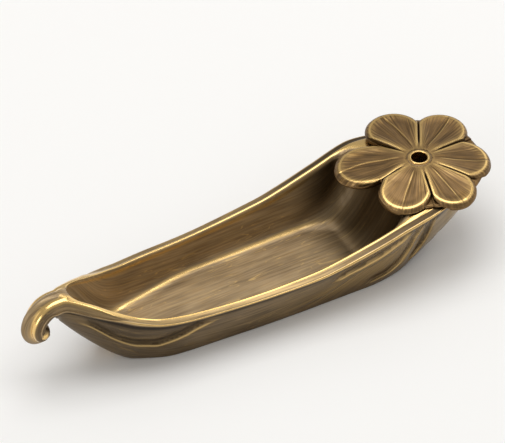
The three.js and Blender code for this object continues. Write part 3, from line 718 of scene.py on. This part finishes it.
def petalSpoke(i, share):
    # a closed profile from the stick socket out over the petal, round its edge and back beneath
    turn, groove, reach, endRadius, droop, lift, ribPlaces = flower["petals"][i]
    half = math.radians((turn - flower["petals"][i - 1][1]) % 360 if share < 0 else (groove - turn) % 360)
    inner = flower["innerRadius"]
    swing = share * half
    direction = math.radians(turn) + swing
    edge = petalReach(swing, reach, endRadius)
    r = lerp(inner, edge, 1 - (1 - np.linspace(0, 1, flower["topRows"])) ** 1.5)
    out = (r - inner) / (reach - inner)
    ribSwing = np.radians(np.interp(out, (0.0, 0.5, 1.0), ribPlaces))
    ribSwing = np.convolve(np.pad(ribSwing, 10, mode="edge"), np.ones(21) / 21, mode="valid")
    swings = swing + ribSwing * (1 - share ** 2) ** 2
    inset, inCrest = petalInset(r, swings, half, reach, endRadius)
    corner = np.where(inset - inCrest > 0.5 * (flower["edgeRound"] + flower["grooveRound"]),
                      flower["edgeRound"], flower["grooveRound"])
    cut = smoothStep(r, flower["grooveStart"], flower["grooveDeep"])
    near = np.clip(-inCrest / corner, 0, 1)
    fillet = (1 - np.sqrt(1 - near ** 2)) * cut * corner * 0.9
    dish = flower["dish"] * smoothStep(inCrest, 0.2, 3.0) * smoothStep(r, 6, 11)
    offRib = r * (swings - ribSwing)
    ribbed = smoothStep(r, 4.2, 7) * (1 - smoothStep(out, 0.95, 1.0))
    top = flowerTop + lift * smoothStep(r, 5, 12) - droop * (r / reach) ** 2 - fillet - dish
    body = flowerTop - droop * (edge / reach) ** 2 + lift

    # the web carries on beyond a short spoke, one step lower
    overWell = flower["innerWebTurns"][0] < math.degrees(direction) < flower["innerWebTurns"][1]
    webRadius = 0.0 if overWell else flower["webRadius"]
    ledge = webRadius > edge + 0.3
    brink = webRadius if ledge else edge
    stepR = np.linspace(edge, brink, flower["stepRows"])
    brow = min(top[-1], flower["webTop"]) if ledge else top[-1]
    stepZ = lerp(top[-1], brow, smoothStep(np.linspace(0, 1, flower["stepRows"]), 0, 0.25))
    stepZ = stepZ - 0.35 * smoothStep(stepR, brink - 0.6, brink) * ledge
    clear = max(overHull(flowerX + math.cos(direction) * (brink - k), math.sin(direction) * (brink - k))
                for k in (0.0, 0.6, 1.2))
    foot = min(max(body - flower["petalThickness"], clear), stepZ[-1] - 0.35)
    t = np.linspace(0, 1, flower["sideRows"] + 1)[1:]
    sideZ = lerp(stepZ[-1], foot, t)
    sideR = brink + 0.25 * np.sin(t * math.pi) * (not ledge) - 0.55 * smoothStep(t, 0.45, 1.0) ** 1.5
    underR = lerp(sideR[-1], inner, np.linspace(0, 1, flower["underRows"] + 1)[1:])
    underZ = []
    for radius in underR:
        over = flowerTop - droop * (radius / reach) ** 2 + lift * smoothStep(radius, 5, 12)
        clear = overHull(flowerX + math.cos(direction) * radius, math.sin(direction) * radius)
        underZ.append(min(max(over - flower["petalThickness"], clear), over - 0.9, foot + 1.5))
    radii = np.concatenate([r, stepR, sideR, underR, [inner]])
    heights = np.concatenate([top, stepZ, sideZ, underZ, [top[0]]])
    angles = np.concatenate([swings, np.full(len(radii) - len(r), swing)]) + math.radians(turn)
    angles[-1] = angles[0]
    places = np.column_stack([flowerX + radii * np.cos(angles), radii * np.sin(angles), heights])

    # worn crests, partly a painted highlight, dark grooves, painted shade down the sides and beneath, and
    # the midrib and outline as fields for the finish
    rest = len(radii) - len(r)
    short = float(smoothStep(reach - edge, 2.5, 6))
    crest = 0.65 * bell(inCrest - 0.05, 0.25) * smoothStep(r, 4, 7)
    crest = crest + 0.25 * bell(inCrest, np.where(inCrest > 0, 2.6, 1.2))
    wornAndSheen = np.concatenate([np.maximum(crest, 0.4 * bell(r - inner, 0.8)), np.zeros(rest)])
    deep = 0.9 * bell(inset, 0.4) * cut * max(short, float(abs(share) > 0.9))
    patinaAndShade = np.concatenate([
        deep, np.full(len(stepR), 0.2 * ledge), lerp(0.05, 0.7, t ** 1.5), np.full(len(underR) + 1, 0.5)])
    midrib = np.column_stack([offRib, 0.45 * ribbed * bell(offRib, 1.0), np.full(len(r), 0.8)])
    rim = np.column_stack([0.3 - inset, cut * bell(inset, 0.8) * max(short, 0.2), np.full(len(r), 0.2)])
    travelled = np.concatenate([[0], np.cumsum(np.hypot(np.diff(radii), np.diff(heights)))])
    across = np.degrees(angles - math.radians(turn)) * flower["rayWidth"] + 40.0 * i
    grain = np.column_stack([travelled, across, np.full(len(radii), 10.0 * i)])
    grain[len(r):, 0] = across[len(r):] * 1.6           # below the edge the brush went round the petal
    grain[len(r):, 1] = travelled[len(r):]
    nothing = np.zeros((rest, 3))
    return {"places": places, "wornAndSheen": wornAndSheen, "patinaAndShade": patinaAndShade, "grain": grain,
            "lineA": np.concatenate([midrib, nothing]), "lineB": np.concatenate([rim, nothing])}


def shapeFlower():
    steps = np.linspace(0, 1, flower["halfSpokes"] + 1)
    spread = lerp(steps, 1 - (1 - steps) ** 2, 0.45)
    spread = np.concatenate([-spread[::-1], spread[1:]])
    spokes = [petalSpoke(i, float(share)) for i in range(len(flower["petals"])) for share in spread]
    spokes.append(petalSpoke(0, -1.0))
    marks = {label: np.array([spoke[label] for spoke in spokes]) for label in spokes[0]}
    return gridPiece("flower_petals", marks.pop("places"), marks)


# stick socket: a turned ferrule whose rolled lip rings the hole
socket = {
    "hole": 4.6, "wall": 0.8, "flange": 7.2, "flangeThickness": 0.8, "depth": 12.0, "lipRound": 0.3,
    "sides": 96}


def shapeSocket():
    inner, tube, flange = socket["hole"] / 2, socket["hole"] / 2 + socket["wall"], socket["flange"] / 2
    top, seat = flowerTop + 0.05, flowerTop - socket["flangeThickness"]
    turn = np.linspace(0, 1, 9)[1:] * math.pi
    rolled = socket["lipRound"]
    lip = [(inner + rolled * (1 - math.cos(a)), top + rolled * (math.sin(a) - 0.35)) for a in turn]
    profile = [(inner, top - 0.15), *lip, (flange - 0.2, top - 0.03), (flange, top - 0.12), (flange, seat),
               (tube, seat), (tube, deckHeight - socket["depth"]), (inner, deckHeight - socket["depth"])]
    bpy.ops.object.select_all(action="DESELECT")
    radius, height = profile[0]
    bpy.ops.mesh.primitive_circle_add(
        vertices=socket["sides"], radius=radius * mm, location=(flowerX * mm, 0, height * mm))
    ferrule = bpy.context.object
    ferrule.name = "stick_ferrule"
    bpy.ops.object.mode_set(mode="EDIT")
    bpy.ops.mesh.select_all(action="SELECT")
    for nextRadius, nextHeight in profile[1:] + profile[:1]:
        lift = (0, 0, (nextHeight - height) * mm)
        bpy.ops.mesh.extrude_edges_move(TRANSFORM_OT_translate={"value": lift})
        scale = (nextRadius / radius, nextRadius / radius, 1)
        bpy.ops.transform.resize(value=scale, center_override=(flowerX * mm, 0, nextHeight * mm))
        radius, height = nextRadius, nextHeight
    bpy.ops.mesh.select_all(action="SELECT")
    bpy.ops.mesh.remove_doubles(threshold=0.001 * mm)
    bpy.ops.mesh.normals_make_consistent(inside=False)
    bpy.ops.object.mode_set(mode="OBJECT")
    bpy.ops.object.transform_apply(location=True, rotation=True, scale=True)
    bpy.ops.object.shade_smooth_by_angle(angle=math.radians(40))
    places = np.array([vertex.co for vertex in ferrule.data.vertices]) / mm
    radii = np.hypot(places[:, 0] - flowerX, places[:, 1])
    # inside the hole the metal is given painted shade
    inside = (radii < inner + 0.01) * smoothStep(top - places[:, 2], 0.1, 1.5)
    wornAndSheen = bell(radii - inner - socket["lipRound"], 0.4) * (places[:, 2] > seat)
    for mark, values in (("wornAndSheen", wornAndSheen), ("patinaAndShade", inside)):
        ferrule.data.attributes.new(mark, "FLOAT", "POINT").data.foreach_set("value", values)
    return ferrule


flowerPetals = shapeFlower()
stickFerrule = shapeSocket()
boreRadius = socket["hole"] / 2 + socket["wall"] + flower["clearance"]
boreBottom = deckHeight - socket["depth"] - flower["clearance"]
cutBore(hullCasting, boreRadius, boreBottom, deckHeight + 1, flowerX)
print("flower and socket shaped,", len(flowerPetals.data.polygons), "faces in the flower")


# finishes: every piece is brass, darkened and then rubbed bright where hands and cloth reach, with
# highlights and shade painted on top
antiqueBrass = {
    "dark": "#857052", "mid": "#b89e77", "warm": "#b58a46", "bright": "#efc77c", "patinaAndShadeTone": "#2e210f",
    # size along and across the brush in mm, detail and distortion; real marks are finer than these
    "patterns": {
        "cloud": (18.0, 8.0, 3.0, 0.3), "brush": (15.0, 0.7, 4.0, 0.0), "hair": (6.0, 0.22, 3.0, 0.0),
        "swirl": (30.0, 3.2, 2.0, 0.7), "patch": (14.0, 3.0, 1.0, 0.0)},
    "swirls": 0.55, "roughness": 0.36, "relief": 0.03, "bareMetal": 0.45, "lacquer": 0.12, "wax": 0.6,
    "waxRoughness": 0.18,
}
petalPatterns = dict(antiqueBrass["patterns"], brush=(14.0, 0.4, 4.0, 0.0), hair=(6.0, 0.2, 3.0, 0.0))
petalBrass = dict(
    antiqueBrass, dark="#5c462a", mid="#8f714a", swirls=0.0, roughness=0.38, bareMetal=0.8, lacquer=0.05,
    patterns=petalPatterns)
# for the ferrule: near black where painted shade fills its hole
lipBrass = dict(antiqueBrass, dark="#5f4a2e", mid="#8c6f46", patinaAndShadeTone="#110c07", swirls=0.0, roughness=0.3)
# a cut line: where its worn edge with a painted highlight and its gap with painted shade lie beside it, half
# their widths, and its depth, in mm
cutLine = {"edgeAt": -0.22, "edgeHalf": 0.36, "gapAt": 0.35, "gapHalf": 0.5, "depth": 0.3}


def finishBrass(name, look, readsObject=False):
    material = bpy.data.materials.new(name)
    material.use_nodes = True
    tree = material.node_tree
    shader = tree.nodes["Principled BSDF"]
    if readsObject:
        source, scale = addNode(tree, "ShaderNodeTexCoord", {}, "Object"), 1 / mm
    else:
        source, scale = addNode(tree, "ShaderNodeAttribute", {}, "Vector", attribute_name="grain"), 1.0
    pattern = {}
    for k, (label, (along, across, detail, distortion)) in enumerate(look["patterns"].items()):
        place = addNode(tree, "ShaderNodeMapping", {
            "Vector": source, "Location": (3.0 * k, 5.0 * k, 7.0 * k),
            "Scale": (scale / along, scale / across, scale / across)})
        pattern[label] = addNode(tree, "ShaderNodeTexNoise", {
            "Vector": place, "Scale": 1.0, "Detail": detail, "Distortion": distortion})
    wornAndSheen = addNode(tree, "ShaderNodeAttribute", {}, "Fac", attribute_name="wornAndSheen")
    patinaAndShade = addNode(tree, "ShaderNodeAttribute", {}, "Fac", attribute_name="patinaAndShade")

    # thin cut lines: a worn edge with a painted highlight on one side of the line, a step down with painted
    # shade on the other
    edges, gaps, step = wornAndSheen, patinaAndShade, 0.0
    for label in ("lineA", "lineB"):
        field = addNode(tree, "ShaderNodeAttribute", {}, "Vector", attribute_name=label)
        away, near, depth = addNode(tree, "ShaderNodeSeparateXYZ", {0: field}).node.outputs
        band = {}
        for side, fades in (("edge", 0.05), ("gap", 0.12)):
            place = addNode(tree, "ShaderNodeMath", {0: away, 1: cutLine[side + "At"]}, operation="SUBTRACT")
            place = addNode(tree, "ShaderNodeMath", {0: place}, operation="ABSOLUTE")
            place = addNode(tree, "ShaderNodeMapRange", {0: place, 1: cutLine[side + "Half"], 2: fades})
            band[side] = addNode(tree, "ShaderNodeMath", {0: place, 1: near}, operation="MULTIPLY")
        edges = addNode(tree, "ShaderNodeMath", {0: edges, 1: band["edge"]}, operation="MAXIMUM")
        gap = addNode(tree, "ShaderNodeMath", {0: band["gap"], 1: depth}, operation="MULTIPLY")
        gaps = addNode(tree, "ShaderNodeMath", {0: gaps, 1: gap}, operation="MAXIMUM")
        drop = addNode(tree, "ShaderNodeMapRange", {
            0: away, 1: -0.1, 2: cutLine["gapAt"], 3: 0.0, 4: -cutLine["depth"]})
        drop = addNode(tree, "ShaderNodeMath", {0: drop, 1: near}, operation="MULTIPLY")
        step = addNode(tree, "ShaderNodeMath", {0: drop, 1: step}, operation="ADD")

    # patina: clouds and brush marks between dark and mid brown, then gold hairs, swirling scratches,
    # rubbed metal with painted highlights, and dark patina with painted shade, each over the one before
    patina = addNode(tree, "ShaderNodeMath", {0: pattern["cloud"], 1: pattern["brush"]}, operation="ADD")
    patina = addNode(tree, "ShaderNodeMapRange", {0: patina, 1: 0.78, 2: 1.22})
    hairs = addNode(tree, "ShaderNodeMapRange", {0: pattern["hair"], 1: 0.5, 2: 0.75, 3: 0.0, 4: 0.5})
    swirl = addNode(tree, "ShaderNodeMath", {0: pattern["swirl"], 1: 10.0}, operation="MULTIPLY")
    swirl = addNode(tree, "ShaderNodeMath", {0: swirl, 1: 0.5}, operation="PINGPONG")
    swirl = addNode(tree, "ShaderNodeMapRange", {0: swirl, 1: 0.1, 2: 0.0, 3: 0.0, 4: look["swirls"]})
    patch = addNode(tree, "ShaderNodeMapRange", {0: pattern["patch"], 1: 0.45, 2: 0.62})
    swirl = addNode(tree, "ShaderNodeMath", {0: swirl, 1: patch}, operation="MULTIPLY")
    rubbedAndSheen = addNode(tree, "ShaderNodeMath", {
        0: pattern["brush"], 1: 0.5, 2: edges}, operation="MULTIPLY_ADD")
    rubbedAndSheen = addNode(tree, "ShaderNodeMapRange", {0: rubbedAndSheen, 1: 0.4, 2: 0.95})
    # dark patina and painted shade, from the mask and from the gaps beside the cut lines
    patinaAndShadeMix = addNode(tree, "ShaderNodeMath", {0: gaps, 1: 0.85}, operation="MULTIPLY")
    colour = hexColour(look["dark"])
    for share, tone in (
            (patina, "mid"), (hairs, "warm"), (swirl, "bright"), (rubbedAndSheen, "bright"), (patinaAndShadeMix, "patinaAndShadeTone")):
        colour = addNode(tree, "ShaderNodeMix", {
            0: share, 6: colour, 7: hexColour(look[tone])}, 2, data_type="RGBA")
    tree.links.new(colour, shader.inputs["Base Color"])

    # the brown film hides the metal; rubbed metal and painted highlights keep a thin clear wax, so their
    # highlights are whiter
    bare = addNode(tree, "ShaderNodeMapRange", {0: rubbedAndSheen, 1: 0.0, 2: 0.6, 3: look["bareMetal"], 4: 1.0})
    bare = addNode(tree, "ShaderNodeMath", {
        0: gaps, 1: 0.6, 2: bare}, operation="MULTIPLY_ADD", use_clamp=True)
    tree.links.new(bare, shader.inputs["Metallic"])
    wax = addNode(tree, "ShaderNodeMapRange", {
        0: rubbedAndSheen, 1: 0.0, 2: 1.0, 3: look["lacquer"], 4: look["wax"]})
    tree.links.new(wax, shader.inputs["Coat Weight"])
    shader.inputs["Coat Roughness"].default_value = look["waxRoughness"]

    # rubbed metal and painted highlights are smoother; the hairs and the cut lines are raised and sunk a
    # little
    rough = addNode(tree, "ShaderNodeMath", {
        0: rubbedAndSheen, 1: -0.2, 2: look["roughness"]}, operation="MULTIPLY_ADD")
    rough = addNode(tree, "ShaderNodeMath", {
        0: pattern["hair"], 1: 0.12, 2: rough}, operation="MULTIPLY_ADD")
    tree.links.new(rough, shader.inputs["Roughness"])
    grain = addNode(tree, "ShaderNodeMath", {
        0: pattern["brush"], 1: 0.5, 2: pattern["hair"]}, operation="MULTIPLY_ADD")
    bump = addNode(tree, "ShaderNodeBump", {
        "Strength": 0.35, "Distance": look["relief"] * mm, "Height": grain})
    bump = addNode(tree, "ShaderNodeBump", {
        "Strength": 1.0, "Distance": mm, "Height": step, "Normal": bump})
    tree.links.new(bump, shader.inputs["Normal"])
    return material


# brown with gold hairlines, bright where it is rubbed and where highlights are painted, and nearly black
# with painted shade under the lip
castBrass = finishBrass("antique brass, cast and brushed", antiqueBrass)
# darker, with fine rays from the hole and a bright line round each petal, worn and partly a painted
# highlight, with painted shade down the sides
brushedBrass = finishBrass("antique brass, petals brushed outwards", petalBrass)
# a thin bright ring round a hole darkened with painted shade
turnedBrass = finishBrass("turned brass, polished lip", lipBrass, readsObject=True)

for piece, material, slot, node in (
        (hullCasting, castBrass, "hull_brass", "hull"),
        (flowerPetals, brushedBrass, "flower_brass", "flower"),
        (stickFerrule, turnedBrass, "polished_brass", "stick_socket")):
    piece.data.materials.clear()
    piece.data.materials.append(material)
    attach(piece, "root")
    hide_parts(node)
print("finishes given")
